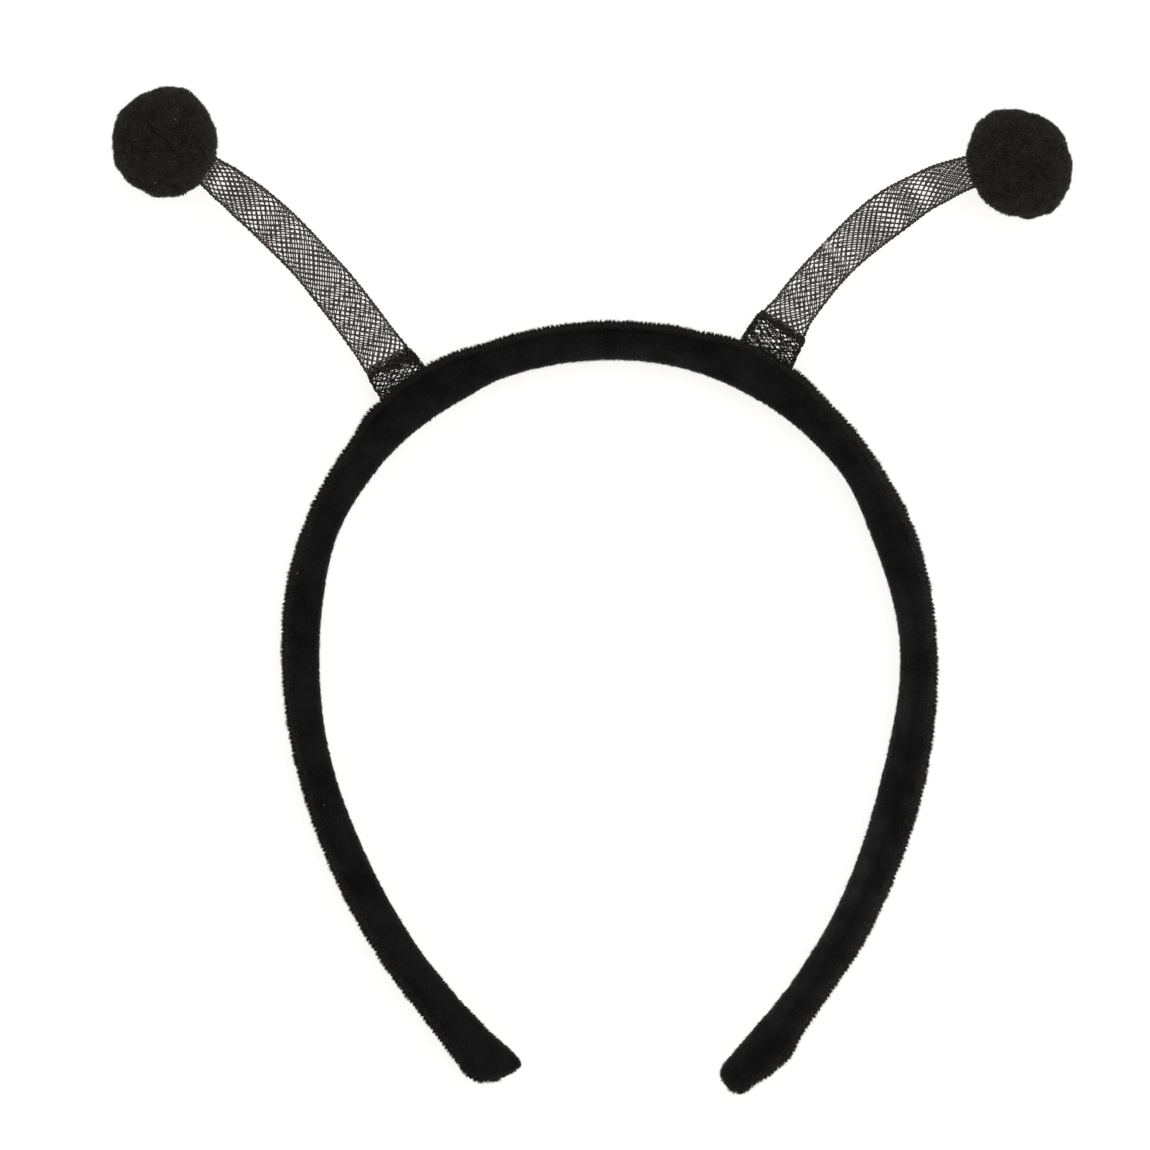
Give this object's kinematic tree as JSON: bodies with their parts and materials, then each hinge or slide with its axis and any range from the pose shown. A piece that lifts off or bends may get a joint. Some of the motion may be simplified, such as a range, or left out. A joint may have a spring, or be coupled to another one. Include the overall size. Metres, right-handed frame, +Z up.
{
  "type": "antenna headband",
  "caption": "Horseshoe headband, padded and covered in black velvet, with springy feelers of open braid that end in soft pile balls; worn over the head as costume.",
  "frame": {"origin": "middle of the bounding box, on the surface that the headband lies on", "axes": "+Z up from that surface, +Y from the open mouth to the top of the arch and the feelers, +X to the picture's right"},
  "size_m": [0.1824, 0.1917, 0.0201],
  "materials": {
    "velvet": "short black velvet pile",
    "crin": "open braid of black monofilament",
    "pile": "dense cut black pile"
  },
  "bodies": {
    "root": {"band": "velvet", "cuff_left": "crin", "cuff_right": "crin", "stalk_left": "crin", "stalk_right": "crin", "ball_left": "pile", "ball_right": "pile"}
  },
  "joints": []
}
